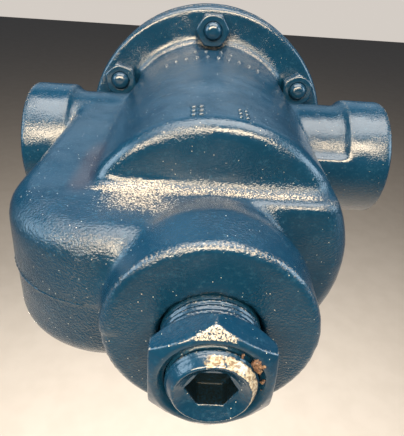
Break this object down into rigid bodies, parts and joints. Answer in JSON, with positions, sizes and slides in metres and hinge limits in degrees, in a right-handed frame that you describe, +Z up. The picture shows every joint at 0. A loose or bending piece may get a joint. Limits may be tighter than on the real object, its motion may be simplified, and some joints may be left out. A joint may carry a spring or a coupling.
{
  "type": "steam trap",
  "caption": "Inverted-bucket steam trap with an integral strainer, in-line screwed ports, a bolted cap and a blowdown plug in its hexagonal screen retainer.",
  "frame": {"origin": "centre of the inlet port's mouth", "axes": "+X from the inlet port to the outlet port, +Z up along the body's axis towards the cap, as the trap hangs in its pipes"},
  "size_m": [0.127, 0.0952, 0.1792],
  "materials": {
    "body_casting": "semi-gloss machinery blue over a rough sand casting",
    "cap_casting": "semi-gloss machinery blue over a rough sand casting",
    "gasket": "compressed graphite fibre sheet",
    "bolts": "painted over with the body",
    "nuts": "painted over with the body",
    "test_plug": "painted over with the body",
    "hardened_steel": "hardened and ground",
    "stainless": "pressed sheet",
    "stainless_screws": "turned",
    "pin_steel": "ground",
    "lever_stainless": "pressed sheet",
    "bucket_stainless": "drawn sheet",
    "tube_steel": "turned",
    "screen_stainless": "perforated sheet",
    "retainer": "painted over with the body, worn and rusty at one corner",
    "blowdown_plug": "painted, worn to bare metal on its rim"
  },
  "bodies": {
    "housing": {"body": "body_casting", "cap": "cap_casting", "cap_gasket": "gasket", "cap_bolts": "bolts", "cap_nuts": "nuts", "test_plug": "test_plug", "valve_seat": "hardened_steel", "guide_bracket": "stainless", "guide_screws": "stainless_screws", "pivot_pin": "pin_steel", "inlet_tube": "tube_steel"},
    "bucket": {"bucket": "bucket_stainless", "bucket_clip": "stainless", "clip_rivet": "stainless_screws"},
    "lever": {"lever": "lever_stainless", "valve_disc": "hardened_steel", "valve_clip": "stainless"},
    "screen": {"strainer_screen": "screen_stainless"},
    "retainer": {"screen_retainer": "retainer", "blowdown_plug": "blowdown_plug"}
  },
  "joints": [
    {"name": "bucket_float", "type": "slide", "parent": "housing", "child": "bucket", "axis": [0, 0, 1], "range_m": [0, 0.006]},
    {"name": "lever_swing", "type": "hinge", "parent": "housing", "child": "lever", "pos_m": [0.083, 0, 0.034], "axis": [0, 1, 0], "range_deg": [0, 14.33]},
    {"name": "retainer_travel", "type": "slide", "parent": "housing", "child": "screen", "axis": [0, 0, -1], "range_m": [0, 0.01081]},
    {"name": "retainer_turn", "type": "hinge", "parent": "screen", "child": "retainer", "pos_m": [0.0635, 0, -0.105], "axis": [0, 0, -1], "range_deg": [0, 3240]}
  ],
  "couplings": [
    {"joint": "lever_swing", "follows": "bucket_float", "rad_per_m": 41.667},
    {"joint": "retainer_travel", "follows": "retainer_turn", "m_per_rad": 0.00019099}
  ]
}
